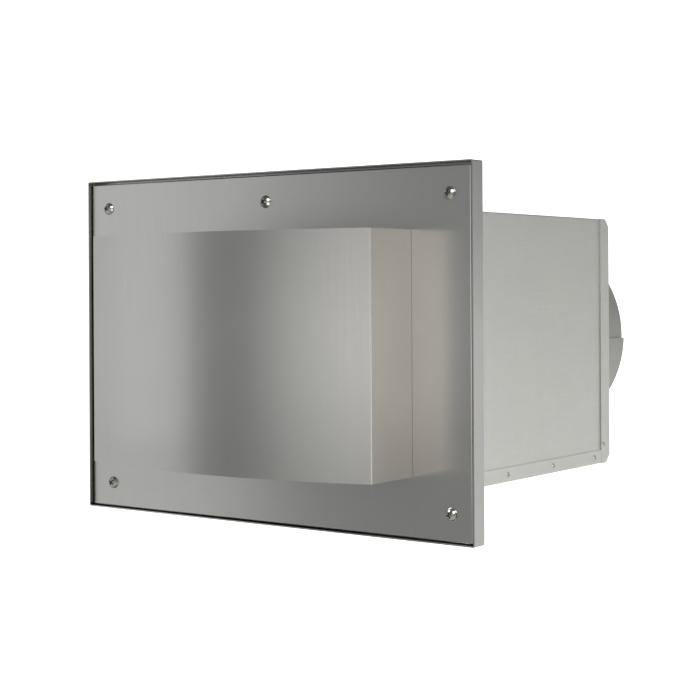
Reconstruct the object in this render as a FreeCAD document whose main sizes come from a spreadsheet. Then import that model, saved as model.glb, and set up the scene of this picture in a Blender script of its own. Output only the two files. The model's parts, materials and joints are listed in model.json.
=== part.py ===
"""Through-wall vent terminal: bow-front hood on a framed plate, wall sleeve and round duct spigot.

Frame: +X to the right seen from outdoors, +Y into the wall, +Z up, millimetres.
Origin: centre of the wall frame's rear face, which is also the centre of its four wall screws.
"Out" in the names below is the distance in front of that face, so out = -y.
"""
import FreeCAD
import Part
import Sketcher
import math
import os

from FreeCAD import Placement, Rotation, Vector

doc = FreeCAD.newDocument("vent_terminal")

# ---------------------------------------------------------------------------
# Driving dimensions
# ---------------------------------------------------------------------------

DIMENSIONS = [
    # wall frame: a shallow pan whose flanges turn forward
    ("frame_width", 462.0),
    ("frame_height", 331.0),
    ("frame_depth", 17.3),
    ("sheet_gauge", 1.2),
    ("frame_bend", 1.5),
    ("opening_gap", 0.4),
    ("wall_screw_x", 212.0),
    ("wall_screw_z", 85.0),
    ("wall_screw_radius", 3.0),
    # foam behind the frame
    ("wall_foam_thick", 3.0),
    ("wall_foam_inset", 6.0),
    ("foam_hole_radius", 4.0),
    # cover plate: a tray that sits inside the frame
    ("cover_inset", 4.0),
    ("cover_left_gap", 1.0),
    ("cover_right_gap", 2.8),
    ("cover_top_gap", 2.2),
    ("cover_bottom_gap", 0.6),
    ("cover_bend", 1.5),
    ("cover_screw_x", 205.0),
    ("cover_screw_x_low_left", 200.5),
    ("cover_screw_z_top", 137.3),
    ("cover_screw_z_low", 139.8),
    ("cover_hole_radius", 2.8),
    ("post_radius", 4.5),
    ("post_foot_radius", 3.25),
    ("post_bore_radius", 2.5),
    ("cover_foam_band", 5.2),
    ("cover_foam_clearance", 1.0),
    # pan-head screws
    ("screw_head_radius", 6.1),
    ("screw_head_rise", 4.3),
    ("screw_shank_radius", 2.4),
    ("screw_length", 9.0),
    ("recess_span", 5.6),
    ("recess_width", 1.5),
    ("recess_depth", 2.3),
    # bow-front hood
    ("hood_width", 330.0),
    ("hood_side", 62.0),
    ("hood_bow", 27.0),
    ("hood_top_edge", 107.2),
    ("hood_bottom_edge", -110.0),
    ("hood_gauge", 1.0),
    ("hood_bend", 1.6),
    ("hood_seam", 0.06),
    ("hood_flange", 12.0),
    ("hood_lip", 12.0),
    ("lid_recess", 0.5),
    # screen over the hood's outlet
    ("rim_ledge", 12.0),
    ("mesh_hole", 10.0),
    ("mesh_pitch", 12.5),
    ("mesh_first_out", 21.0),
    ("screen_clearance", 0.5),
    ("screen_rivet_inset", 1.0),
    ("screen_rivet_radius", 2.4),
    ("screen_rivet_rise", 1.0),
    ("screen_rivet_flat", 1.4),
    # wall sleeve
    ("sleeve_width", 354.0),
    ("sleeve_height", 252.6),
    ("sleeve_depth", 336.0),
    ("sleeve_flange", 6.2),
    ("floor_drop", 1.8),
    ("floor_doubler", 5.0),
    ("strip_height", 13.8),
    ("strip_rivet_pitch", 87.3),
    ("strip_rivet_last", 34.2),
    ("tray_depth", 18.5),
    ("tray_clip", 7.8),
    ("tray_lap", 9.0),
    ("tray_top_gap", 0.3),
    ("tray_rivet_in", 3.6),
    ("tray_rivet_x", 106.0),
    ("tray_rivet_rise", 19.5),
    # blind rivets
    ("rivet_head_radius", 2.9),
    ("rivet_head_rise", 1.2),
    ("rivet_shank_radius", 1.6),
    ("rivet_bulb_radius", 2.6),
    ("rivet_bulb_rise", 1.8),
    ("rivet_core_radius", 0.9),
    ("rivet_core_rise", 0.4),
    ("rivet_flat_radius", 1.6),
    ("rivet_bulb_shoulder", 0.5),
    ("rivet_tail_radius", 2.1),
    # duct spigot
    ("spigot_radius", 114.3),
    ("spigot_gauge", 1.0),
    ("spigot_reach", 157.0),
    ("spigot_inside", 10.0),
    ("lap_gauge", 2.8),
    ("lap_drop", 3.5),
    ("ring_band", 10.0),
    ("ring_flat", 117.0),
    ("ring_rivets", 8.0),
    # back-draught damper
    ("rod_y", 420.0),
    ("rod_radius", 2.5),
    ("rod_half_length", 118.7),
    ("bush_radius", 4.0),
    ("bush_tail", 2.0),
    ("bush_head_radius", 6.5),
    ("bush_head_gap", 0.1),
    ("bush_head_rise", 1.5),
    ("clip_gap", 1.0),
    ("clip_radius", 5.5),
    ("clip_gauge", 0.6),
    ("knuckle_bore", 2.56),
    ("knuckle_gauge", 0.8),
    ("tab_overlap", 1.0),
    ("blade_radius", 110.2),
    ("blade_edge", 4.8),
    ("blade_gap", 0.3),
    ("seal_thick", 1.2),
    ("seat_inner_radius", 102.7),
    ("seat_depth", 14.0),
    ("stop_half_length", 9.0),
    ("stop_wing_lean", 10.0),
    ("stop_wing_near", 0.8),
    ("stop_wing_far", 2.2),
    ("stop_wing_root", 2.0),
    ("stop_wing_tip", 24.0),
    ("spring_wire", 0.9),
    ("spring_coil_radius", 3.8),
    ("spring_turns", 8.0),
    ("spring_pitch", 1.01),
    ("spring_leg_gap", 0.3),
    ("spring_leg_lean", 11.0),
]

sheet = doc.addObject("Spreadsheet::Sheet", "dimensions")
sheet.Label = "dimensions"
for row, (alias, number) in enumerate(DIMENSIONS, start=1):
    sheet.set("A%d" % row, alias)
    sheet.set("B%d" % row, "%g" % number)
    sheet.setAlias("B%d" % row, alias)
doc.recompute()


class Size:
    """A number kept together with the sheet formula that gives it."""

    def __init__(self, number, formula):
        self.number = float(number)
        self.formula = formula

    def _joined(self, other, sign, number):
        return Size(number, "(%s %s %s)" % (self.formula, sign, plain(other).formula))

    def __add__(self, other):
        return self._joined(other, "+", self.number + plain(other).number)

    def __sub__(self, other):
        return self._joined(other, "-", self.number - plain(other).number)

    def __mul__(self, other):
        return self._joined(other, "*", self.number * plain(other).number)

    def __truediv__(self, other):
        return self._joined(other, "/", self.number / plain(other).number)

    def __neg__(self):
        return Size(-self.number, "(0 - %s)" % self.formula)


def plain(value):
    """A Size for a bare number, or the Size itself."""
    return value if isinstance(value, Size) else Size(value, "%.9g" % value)


def cell(alias):
    return Size(sheet.get(alias), "dimensions.%s" % alias)


def root(value):
    return Size(math.sqrt(value.number), "sqrt(%s)" % value.formula)


ZERO = plain(0.0)
gauge = cell("sheet_gauge")

# ---------------------------------------------------------------------------
# Building blocks
# ---------------------------------------------------------------------------

ORIGIN_POINT = (-1, 1)
H_AXIS, V_AXIS = -1, -2
NOTHING = 1e-9
MATCH = 0.02
PARALLEL = 0.999
FRONT, PLAN, SIDE = "XZ_Plane", "XY_Plane", "YZ_Plane"


def new_body(label):
    body = doc.addObject("PartDesign::Body", label)
    body.Label = label
    return body


def new_sketch(body, name, plane, offset=None):
    """A sketch on one of the body's own planes; offset runs along the plane's normal (-Y for FRONT)."""
    sketch = body.newObject("Sketcher::SketchObject", name)
    base = [item for item in body.Origin.OriginFeatures if item.Role == plane][0]
    sketch.AttachmentSupport = [(base, "")]
    sketch.MapMode = "FlatFace"
    if offset is not None:
        sketch.setExpression(".AttachmentOffset.Base.z", plain(offset).formula)
    return sketch


def pin_vertex(sketch, geometry, point, across, up):
    """Fix a vertex at (across, up) from the sketch origin, both bound to the sheet."""
    for kind, value, axis in (("DistanceX", across, V_AXIS), ("DistanceY", up, H_AXIS)):
        if abs(value.number) < NOTHING:
            sketch.addConstraint(Sketcher.Constraint("PointOnObject", geometry, point, axis))
            continue
        index = sketch.addConstraint(
            Sketcher.Constraint(kind, *ORIGIN_POINT, geometry, point, value.number))
        sketch.setExpression("Constraints[%d]" % index, value.formula)


def add_polygon(sketch, corners):
    """Closed outline through corners; a corner is (across, up) or (across, up, radius, turn).

    With a radius, the edge that leaves the corner is an arc: turn +1 bends it left, -1 right.
    """
    corners = [tuple(plain(v) if i < 3 else v for i, v in enumerate(c)) for c in corners]
    total = len(corners)
    ends = []
    for index, corner in enumerate(corners):
        following = corners[(index + 1) % total]
        start = Vector(corner[0].number, corner[1].number, 0)
        finish = Vector(following[0].number, following[1].number, 0)
        if len(corner) == 2:
            geometry = sketch.addGeometry(Part.LineSegment(start, finish))
            ends.append((geometry, 1, 2))
            continue
        radius, turn = corner[2], corner[3]
        chord = finish - start
        side = Vector(-chord.y, chord.x, 0)
        side.normalize()
        reach = math.sqrt(max(radius.number ** 2 - (chord.Length / 2) ** 2, 0.0))
        centre = (start + finish) * 0.5 + side * (reach * turn)
        first, last = (start, finish) if turn > 0 else (finish, start)
        angles = [math.atan2(p.y - centre.y, p.x - centre.x) for p in (first, last)]
        circle = Part.Circle(centre, Vector(0, 0, 1), radius.number)
        geometry = sketch.addGeometry(Part.ArcOfCircle(circle, angles[0], angles[1]))
        index_radius = sketch.addConstraint(
            Sketcher.Constraint("Radius", geometry, radius.number))
        sketch.setExpression("Constraints[%d]" % index_radius, radius.formula)
        ends.append((geometry, 1, 2) if turn > 0 else (geometry, 2, 1))
    for index, (geometry, start_point, end_point) in enumerate(ends):
        following = ends[(index + 1) % total]
        sketch.addConstraint(Sketcher.Constraint(
            "Coincident", geometry, end_point, following[0], following[1]))
        pin_vertex(sketch, geometry, start_point, corners[index][0], corners[index][1])


def add_rectangle(sketch, left, right, bottom, top):
    add_polygon(sketch, [(left, bottom), (right, bottom), (right, top), (left, top)])


def add_circle(sketch, across, up, radius):
    across, up, radius = plain(across), plain(up), plain(radius)
    centre = Vector(across.number, up.number, 0)
    geometry = sketch.addGeometry(Part.Circle(centre, Vector(0, 0, 1), radius.number))
    index = sketch.addConstraint(Sketcher.Constraint("Radius", geometry, radius.number))
    sketch.setExpression("Constraints[%d]" % index, radius.formula)
    pin_vertex(sketch, geometry, 3, across, up)


def new_pad(body, sketch, length, backwards=False):
    pad = body.newObject("PartDesign::Pad", sketch.Name + "_pad")
    pad.Profile = sketch
    pad.setExpression("Length", plain(length).formula)
    pad.Reversed = backwards
    sketch.Visibility = False
    return pad


def new_pocket(body, sketch, length=None, backwards=False):
    """Cut away a sketch's area; without a length it goes through everything, both ways."""
    before = solid_volume(body)
    pocket = body.newObject("PartDesign::Pocket", sketch.Name + "_pocket")
    pocket.Profile = sketch
    if length is None:
        pocket.Type = "ThroughAll"
        pocket.Midplane = True
    else:
        pocket.setExpression("Length", plain(length).formula)
        pocket.Reversed = backwards
    sketch.Visibility = False
    if solid_volume(body) >= before:
        raise RuntimeError("%s cuts nothing" % pocket.Name)
    return pocket


def solid_volume(body):
    doc.recompute()
    return body.Shape.Volume


def new_fillet(body, radius, wanted):
    """Round the edges of the body's shape for which wanted(edge) is true."""
    doc.recompute()
    base = body.Tip
    names = ["Edge%d" % (i + 1) for i, edge in enumerate(base.Shape.Edges) if wanted(edge)]
    if not names:
        raise RuntimeError("no edge to round on %s" % body.Label)
    fillet = body.newObject("PartDesign::Fillet", body.Name + "_bend")
    fillet.Base = (base, names)
    fillet.setExpression("Radius", plain(radius).formula)
    return fillet


def edge_at(x=None, y=None, z=None):
    """Test for straight edges that lie wholly at the given coordinates (absolute x)."""
    def wanted(edge):
        if not isinstance(edge.Curve, Part.Line):
            return False
        for vertex in edge.Vertexes:
            point = vertex.Point
            for want, have in ((x, abs(point.x)), (y, point.y), (z, point.z)):
                if want is None:
                    continue
                choices = want if isinstance(want, tuple) else (want,)
                if not any(abs(have - plain(choice).number) < MATCH for choice in choices):
                    return False
        return True
    return wanted


def any_of(*tests):
    return lambda edge: any(test(edge) for test in tests)


def along(axis, test):
    """Test that an edge passes test and runs along the axis."""
    def wanted(edge):
        if not test(edge):
            return False
        run = edge.Vertexes[-1].Point - edge.Vertexes[0].Point
        return abs(run.normalize().dot(axis)) > PARALLEL
    return wanted


def new_group(label, master, placements):
    """One node of identical loose pieces: copies of a master body at several placements."""
    doc.recompute()
    pieces = []
    for placement in placements:
        piece = master.Shape.copy()
        piece.Placement = placement.multiply(piece.Placement)
        pieces.append(piece)
    group = doc.addObject("Part::Feature", label)
    group.Label = label
    group.Shape = Part.makeCompound(pieces)
    return group


X, Y, Z = Vector(1, 0, 0), Vector(0, 1, 0), Vector(0, 0, 1)
nodes = []

# ---------------------------------------------------------------------------
# Distances shared by several pieces ("out" is in front of the frame's rear face)
# ---------------------------------------------------------------------------

half_width = cell("frame_width") / 2
half_height = cell("frame_height") / 2
frame_out = cell("frame_depth")
cover_out = frame_out - cell("cover_inset")
cover_back = cover_out - gauge

sleeve_half = cell("sleeve_width") / 2
sleeve_tall = cell("sleeve_height") / 2
sleeve_low = -sleeve_tall - cell("floor_drop")
strip_half = sleeve_half + gauge
sleeve_end = cell("sleeve_depth")
tray_front = sleeve_end - cell("tray_depth")
wrap_end = tray_front + cell("tray_lap")

hood_half = cell("hood_width") / 2
hood_corner_out = cover_out + cell("hood_side")
hood_top = cell("hood_top_edge")
hood_bottom = cell("hood_bottom_edge")
hood_wall = cell("hood_gauge")
bow = cell("hood_bow")
bow_radius = (hood_half * hood_half + bow * bow) / (bow * 2)
bow_centre_y = root(bow_radius * bow_radius - hood_half * hood_half) - hood_corner_out

screw_x = cell("cover_screw_x")
screw_top = cell("cover_screw_z_top")
screw_low = -cell("cover_screw_z_low")
# centres (across, up) and the turn of each screw's recess in degrees
COVER_SCREWS = [(-screw_x, screw_top, 20.0), (ZERO, screw_top, 55.0), (screw_x, screw_top, 90.0),
                (-cell("cover_screw_x_low_left"), screw_low, 125.0), (screw_x, screw_low, 160.0)]

spigot = cell("spigot_radius")
spigot_bore = spigot - cell("spigot_gauge")
spigot_end = sleeve_end + cell("spigot_reach")
rod_y = cell("rod_y")


def corner_edges(x, z):
    """Test for the edges along Y at the four corners (x, z)."""
    def wanted(edge):
        return all(abs(abs(v.Point.x) - plain(x).number) < MATCH
                   and any(abs(v.Point.z - plain(c).number) < MATCH for c in z)
                   for v in edge.Vertexes)
    return along(Y, wanted)


# ---------------------------------------------------------------------------
# Wall frame, its foam and the posts that hold the cover
# ---------------------------------------------------------------------------

def make_wall_frame():
    body = new_body("wall_frame")
    outline = new_sketch(body, "frame_outline", FRONT)
    add_rectangle(outline, -half_width, half_width, -half_height, half_height)
    new_pad(body, outline, frame_out)
    hollow = new_sketch(body, "frame_hollow", FRONT, frame_out)
    add_rectangle(hollow, gauge - half_width, half_width - gauge,
                  gauge - half_height, half_height - gauge)
    new_pocket(body, hollow, frame_out - gauge)
    new_fillet(body, cell("frame_bend"), any_of(
        edge_at(x=half_width, y=ZERO), edge_at(z=half_height, y=ZERO),
        edge_at(z=-half_height, y=ZERO),
        corner_edges(half_width, (half_height, -half_height))))
    window = new_sketch(body, "frame_window", FRONT, frame_out)
    gap = cell("opening_gap")
    add_rectangle(window, -strip_half - gap, strip_half + gap, sleeve_low - gap, sleeve_tall + gap)
    new_pocket(body, window)
    holes = new_sketch(body, "frame_holes", FRONT, frame_out)
    for side in (-1, 1):
        for level in (-1, 1):
            add_circle(holes, cell("wall_screw_x") * side, cell("wall_screw_z") * level,
                       cell("wall_screw_radius"))
    for across, up, turn in COVER_SCREWS:
        add_circle(holes, across, up, cell("post_foot_radius"))
    new_pocket(body, holes)
    nodes.append(body)


def make_wall_foam():
    body = new_body("wall_foam")
    inset = cell("wall_foam_inset")
    ring = new_sketch(body, "wall_foam_ring", FRONT)
    add_rectangle(ring, inset - half_width, half_width - inset,
                  inset - half_height, half_height - inset)
    gap = cell("opening_gap") * 2
    add_rectangle(ring, -strip_half - gap, strip_half + gap, sleeve_low - gap, sleeve_tall + gap)
    for side in (-1, 1):
        for level in (-1, 1):
            add_circle(ring, cell("wall_screw_x") * side, cell("wall_screw_z") * level,
                       cell("foam_hole_radius"))
    new_pad(body, ring, cell("wall_foam_thick"), backwards=True)
    nodes.append(body)


def make_cover_posts():
    """Clinched threaded posts: a stepped foot in the frame's hole and a barrel up to the cover."""
    master = new_body("post_master")
    foot = new_sketch(master, "post_foot", FRONT)
    add_circle(foot, ZERO, ZERO, cell("post_foot_radius"))
    add_circle(foot, ZERO, ZERO, cell("post_bore_radius"))
    new_pad(master, foot, gauge)
    barrel = new_sketch(master, "post_barrel", FRONT, gauge)
    add_circle(barrel, ZERO, ZERO, cell("post_radius"))
    add_circle(barrel, ZERO, ZERO, cell("post_bore_radius"))
    new_pad(master, barrel, cover_back - gauge)
    places = [Placement(Vector(across.number, 0, up.number), Rotation())
              for across, up, turn in COVER_SCREWS]
    nodes.append(new_group("cover_posts", master, places))


# ---------------------------------------------------------------------------
# Cover plate, its foam and its screws
# ---------------------------------------------------------------------------

def make_cover_plate():
    body = new_body("cover_plate")
    left = cell("cover_left_gap") + gauge - half_width
    right = half_width - gauge - cell("cover_right_gap")
    top = half_height - gauge - cell("cover_top_gap")
    bottom = cell("cover_bottom_gap") + gauge - half_height
    outline = new_sketch(body, "cover_outline", FRONT, gauge)
    add_rectangle(outline, left, right, bottom, top)
    new_pad(body, outline, cover_out - gauge)
    hollow = new_sketch(body, "cover_hollow", FRONT, gauge)
    add_rectangle(hollow, left + gauge, right - gauge, bottom + gauge, top - gauge)
    new_pocket(body, hollow, cover_back - gauge, backwards=True)
    front = -cover_out
    new_fillet(body, cell("cover_bend"), any_of(
        edge_at(x=(right, -left), y=front), edge_at(z=top, y=front),
        edge_at(z=bottom, y=front),
        corner_edges(right, (top, bottom)), corner_edges(-left, (top, bottom))))
    window = new_sketch(body, "cover_window", FRONT, cover_out)
    seam = cell("hood_seam")
    add_rectangle(window, -hood_half - seam, hood_half + seam, hood_bottom - seam, hood_top + seam)
    new_pocket(body, window)
    holes = new_sketch(body, "cover_holes", FRONT, cover_out)
    for across, up, turn in COVER_SCREWS:
        add_circle(holes, across, up, cell("cover_hole_radius"))
    new_pocket(body, holes)
    nodes.append(body)


def make_cover_foam():
    """Foam band between the sleeve's front flange and the back of the cover plate."""
    body = new_body("cover_foam")
    band = cell("cover_foam_band")
    side = strip_half + cell("cover_foam_clearance")
    top = sleeve_tall + cell("cover_foam_clearance")
    low = sleeve_low - cell("cover_foam_clearance")
    ring = new_sketch(body, "cover_foam_ring", FRONT, gauge * 2)
    add_rectangle(ring, -side - band, side + band, low - band, top + band)
    add_rectangle(ring, -side, side, low, top)
    new_pad(body, ring, cover_back - gauge * 2)
    nodes.append(body)


def make_cover_screws():
    """Domed head with a cross recess, on a plain shank."""
    master = new_body("screw_master")
    radius = cell("screw_head_radius")
    rise = cell("screw_head_rise")
    dome = (radius * radius + rise * rise) / (rise * 2)
    shank = cell("screw_shank_radius")
    profile = new_sketch(master, "screw_profile", PLAN)
    add_polygon(profile, [(ZERO, -rise, dome, 1), (radius, ZERO), (shank, ZERO),
                          (shank, cell("screw_length")), (ZERO, cell("screw_length"))])
    turned = master.newObject("PartDesign::Revolution", "screw_turned")
    turned.Profile = profile
    turned.ReferenceAxis = (profile, ["V_Axis"])
    turned.Angle = 360
    profile.Visibility = False
    recess = new_sketch(master, "screw_recess", FRONT, rise)
    arm = cell("recess_span") / 2
    wing = cell("recess_width") / 2
    add_polygon(recess, [(-arm, -wing), (-wing, -wing), (-wing, -arm), (wing, -arm),
                         (wing, -wing), (arm, -wing), (arm, wing), (wing, wing),
                         (wing, arm), (-wing, arm), (-wing, wing), (-arm, wing)])
    new_pocket(master, recess, cell("recess_depth"))
    places = [Placement(Vector(across.number, -cover_out.number, up.number), Rotation(Y, turn))
              for across, up, turn in COVER_SCREWS]
    nodes.append(new_group("cover_screws", master, places))


# ---------------------------------------------------------------------------
# Bow-front hood
# ---------------------------------------------------------------------------

def bow_line(inset):
    """Half-width, corner y and radius of the hood's plan, inset from its outer face."""
    half = hood_half - inset
    radius = bow_radius - inset
    return half, bow_centre_y - root(radius * radius - half * half), radius


def bow_outline(inset, back_y):
    """Closed plan outline of the hood at an inset, from back_y to the bow."""
    half, corner, radius = bow_line(inset)
    return [(-half, back_y), (-half, corner, radius, 1), (half, corner), (half, back_y)]


def make_hood_shell():
    """Bow front and both sides in one sheet, with flanges that grip behind the cover plate."""
    body = new_body("hood_shell")
    outer, outer_y, outer_radius = bow_line(ZERO)
    inner, inner_y, inner_radius = bow_line(hood_wall)
    tip = hood_half + cell("hood_flange")
    front_y = -cover_back
    rear_y = hood_wall - cover_back
    plan = new_sketch(body, "hood_plan", PLAN, hood_bottom)
    add_polygon(plan, [(-tip, rear_y), (-tip, front_y), (-outer, front_y),
                       (-outer, outer_y, outer_radius, 1), (outer, outer_y), (outer, front_y),
                       (tip, front_y), (tip, rear_y), (inner, rear_y),
                       (inner, inner_y, inner_radius, -1), (-inner, inner_y), (-inner, rear_y)])
    new_pad(body, plan, hood_top - hood_bottom)
    new_fillet(body, cell("hood_bend"), along(Z, edge_at(x=outer, y=outer_y)))
    new_fillet(body, cell("hood_bend") - hood_wall, along(Z, edge_at(x=inner, y=inner_y)))
    nodes.append(body)


def make_hood_end(label, level, downwards, ledge=None):
    """Closing sheet inside the hood's top or bottom: plate, lip along the bow, flange at the rear.

    level is the plate's outer face; ledge leaves only a border that wide around an opening.
    """
    body = new_body(label)
    rear_y = hood_wall - cover_back
    side = -1 if downwards else 1
    plate = new_sketch(body, label + "_plate", PLAN, level)
    add_polygon(plate, bow_outline(hood_wall, rear_y))
    if ledge is not None:
        add_polygon(plate, bow_outline(hood_wall + ledge, -cover_out - ledge / 2))
    new_pad(body, plate, hood_wall, backwards=downwards)
    lip = new_sketch(body, label + "_lip", PLAN, level)
    half, corner, radius = bow_line(hood_wall)
    thin, thin_corner, thin_radius = bow_line(hood_wall * 2)
    add_polygon(lip, [(-half, -cover_out), (-half, corner, radius, 1), (half, corner),
                      (half, -cover_out), (thin, -cover_out), (thin, thin_corner, thin_radius, -1),
                      (-thin, thin_corner), (-thin, -cover_out)])
    new_pad(body, lip, cell("hood_lip"), backwards=downwards)
    new_fillet(body, cell("hood_bend") - hood_wall, along(Z, edge_at(x=half, y=corner)))
    flange = new_sketch(body, label + "_flange", PLAN, level + hood_wall * side)
    add_rectangle(flange, -half, half, -cover_back, rear_y)
    new_pad(body, flange, cell("hood_flange"), backwards=not downwards)
    return body


def make_hood_lid():
    body = make_hood_end("hood_lid", hood_top - cell("lid_recess"), downwards=True)
    nodes.append(body)


def make_outlet_rim():
    body = make_hood_end("outlet_rim", hood_bottom + cell("lid_recess"), downwards=False,
                         ledge=cell("rim_ledge"))
    holes = new_sketch(body, "rim_rivet_holes", PLAN, hood_bottom - hood_wall)
    for across, out in rim_rivet_places():
        add_circle(holes, across, -out, cell("rivet_shank_radius"))
    new_pocket(body, holes, hood_wall * 4, backwards=True)
    nodes.append(body)


def rim_rivet_places():
    """Centres (across, out) of the rivets that hold the screen on its rim."""
    ledge = cell("rim_ledge")
    inset = cell("screen_rivet_inset")
    row = hood_half - hood_wall - ledge / 2 - inset
    near = cover_out + ledge
    far = hood_corner_out - ledge / 2
    front = hood_corner_out + bow - hood_wall - ledge / 2 - inset
    return [(-row, near), (row, near), (-row, far), (row, far), (ZERO, front)]


# screen holes: columns and rows of the straight part, and columns of the one row in the bow
MESH_COLUMNS = 23
MESH_ROWS = 4
MESH_BOW_COLUMNS = 13


def make_outlet_screen():
    """Perforated sheet that keeps birds and leaves out of the hood's open underside."""
    body = new_body("outlet_screen")
    level = hood_bottom + cell("lid_recess") + hood_wall
    plate = new_sketch(body, "screen_plate", PLAN, level)
    inset = hood_wall * 2 + cell("screen_clearance")
    add_polygon(plate, bow_outline(inset, -cover_out - cell("rim_ledge") / 4))
    new_pad(body, plate, hood_wall)
    hole = cell("mesh_hole")
    pitch = cell("mesh_pitch")
    rows = (("screen_rows", MESH_COLUMNS, MESH_ROWS, ZERO),
            ("screen_bow_row", MESH_BOW_COLUMNS, 1, pitch * MESH_ROWS))
    for name, columns, deep, forward in rows:
        first = new_sketch(body, name, PLAN, level)
        left = pitch * (1 - columns) / 2 - hole / 2
        out = cell("mesh_first_out") + forward
        add_rectangle(first, left, left + hole, -out - hole, -out)
        pocket = new_pocket(body, first, hood_wall, backwards=True)
        add_grid(body, pocket, first, columns, deep, pitch)
    rivets = new_sketch(body, "screen_rivet_holes", PLAN, level)
    for across, out in rim_rivet_places():
        add_circle(rivets, across, -out, cell("rivet_shank_radius"))
    new_pocket(body, rivets, hood_wall, backwards=True)
    nodes.append(body)


def add_grid(body, feature, first, columns, deep, pitch):
    """Repeat a cut in columns along +X and rows along -Y."""
    grid = body.newObject("PartDesign::MultiTransform", first.Name + "_grid")
    across = doc.addObject("PartDesign::LinearPattern", first.Name + "_across")
    across.Direction = (first, ["H_Axis"])
    steps = [(across, columns)]
    if deep > 1:
        forward = doc.addObject("PartDesign::LinearPattern", first.Name + "_forward")
        forward.Direction = (first, ["V_Axis"])
        forward.Reversed = True
        steps.append((forward, deep))
    for step, count in steps:
        step.setExpression("Length", (pitch * (count - 1)).formula)
        step.Occurrences = count
    grid.Originals = [feature]
    grid.Transformations = [step for step, count in steps]
    body.Tip = grid
    doc.recompute()


def make_screen_rivets():
    """Solid rivets, head under the rim and tail above the screen."""
    master = new_body("screen_rivet_master")
    head = cell("screen_rivet_radius")
    flat = cell("screen_rivet_flat")
    rise = cell("screen_rivet_rise")
    shank = cell("rivet_shank_radius")
    grip = hood_wall * 2
    profile = new_sketch(master, "screen_rivet_profile", FRONT)
    add_polygon(profile, [(ZERO, -rise), (flat, -rise), (head, ZERO), (shank, ZERO),
                          (shank, grip), (head, grip), (flat, grip + rise),
                          (ZERO, grip + rise)])
    turned = master.newObject("PartDesign::Revolution", "screen_rivet_turned")
    turned.Profile = profile
    turned.ReferenceAxis = (profile, ["V_Axis"])
    turned.Angle = 360
    level = (hood_bottom + cell("lid_recess")).number
    places = [Placement(Vector(a.number, -o.number, level), Rotation())
              for a, o in rim_rivet_places()]
    nodes.append(new_group("screen_rivets", master, places))


# ---------------------------------------------------------------------------
# Wall sleeve
# ---------------------------------------------------------------------------

STRIP_RIVETS = 4
strip_rivet_level = sleeve_low + cell("strip_height") / 2


def strip_rivet_places():
    """Distances y of the rivets along each bottom strip."""
    last = sleeve_end - cell("strip_rivet_last")
    return [last - cell("strip_rivet_pitch") * step for step in range(STRIP_RIVETS)]


def make_sleeve_wrap():
    """Top and both sides in one sheet, with front flanges turned outwards."""
    body = new_body("sleeve_wrap")
    floor = sleeve_low + gauge
    profile = new_sketch(body, "wrap_profile", FRONT, gauge * 2)
    inner = sleeve_half - gauge
    add_polygon(profile, [(-sleeve_half, floor), (-inner, floor), (-inner, sleeve_tall - gauge),
                          (inner, sleeve_tall - gauge), (inner, floor), (sleeve_half, floor),
                          (sleeve_half, sleeve_tall), (-sleeve_half, sleeve_tall)])
    new_pad(body, profile, wrap_end + gauge * 2, backwards=True)
    new_fillet(body, cell("frame_bend"), corner_edges(sleeve_half, (sleeve_tall,)))
    new_fillet(body, cell("frame_bend") - gauge, corner_edges(inner, (sleeve_tall - gauge,)))
    flange = cell("sleeve_flange")
    ends = new_sketch(body, "wrap_flange", FRONT, gauge)
    out_x = sleeve_half + flange
    out_z = sleeve_tall + flange
    trim = gauge / 2
    add_polygon(ends, [(-out_x, floor), (trim - sleeve_half, floor),
                       (trim - sleeve_half, sleeve_tall - trim),
                       (sleeve_half - trim, sleeve_tall - trim), (sleeve_half - trim, floor),
                       (out_x, floor), (out_x, sleeve_tall), (sleeve_half, out_z),
                       (-sleeve_half, out_z), (-out_x, sleeve_tall)])
    new_pad(body, ends, gauge)
    holes = new_sketch(body, "wrap_rivet_holes", SIDE)
    for place in strip_rivet_places():
        add_circle(holes, place, strip_rivet_level, cell("rivet_shank_radius"))
    new_pocket(body, holes)
    tray_side_holes(body, "wrap")
    nodes.append(body)


def make_sleeve_floor():
    """Bottom panel: its edges turn up outside the wrap, its front edge turns down.

    A doubler on its rear end steps up into the rear tray.
    """
    body = new_body("sleeve_floor")
    profile = new_sketch(body, "floor_profile", FRONT, gauge)
    low = sleeve_low
    high = low + cell("strip_height")
    add_polygon(profile, [(-strip_half, low), (strip_half, low), (strip_half, high),
                          (sleeve_half, high), (sleeve_half, low + gauge),
                          (-sleeve_half, low + gauge), (-sleeve_half, high), (-strip_half, high)])
    new_pad(body, profile, tray_front - cell("opening_gap") + gauge, backwards=True)
    new_fillet(body, gauge, corner_edges(strip_half, (low,)))
    tail_front = tray_front - cell("floor_doubler")
    tail = new_sketch(body, "floor_tail", FRONT, -tail_front)
    add_rectangle(tail, gauge - sleeve_half, sleeve_half - gauge, low + gauge, low + gauge * 2)
    new_pad(body, tail, wrap_end - tail_front, backwards=True)
    edge = new_sketch(body, "floor_flange", FRONT, gauge)
    add_rectangle(edge, -sleeve_half, sleeve_half, low - cell("sleeve_flange"), low + gauge)
    new_pad(body, edge, gauge)
    holes = new_sketch(body, "floor_rivet_holes", SIDE)
    for place in strip_rivet_places():
        add_circle(holes, place, strip_rivet_level, cell("rivet_shank_radius"))
    new_pocket(body, holes)
    tray_low_holes(body, "floor")
    nodes.append(body)


tray_rivet_y = tray_front + cell("tray_rivet_in")
tray_side_level = sleeve_low + cell("tray_rivet_rise")
TRAY_LOW_RIVETS = (-cell("tray_rivet_x"), ZERO, cell("tray_rivet_x"))


def tray_side_holes(body, name):
    """Holes for the rivets through the rear tray's side flanges."""
    side = new_sketch(body, name + "_tray_side_holes", SIDE)
    add_circle(side, tray_rivet_y, tray_side_level, cell("rivet_shank_radius"))
    new_pocket(body, side)


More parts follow.
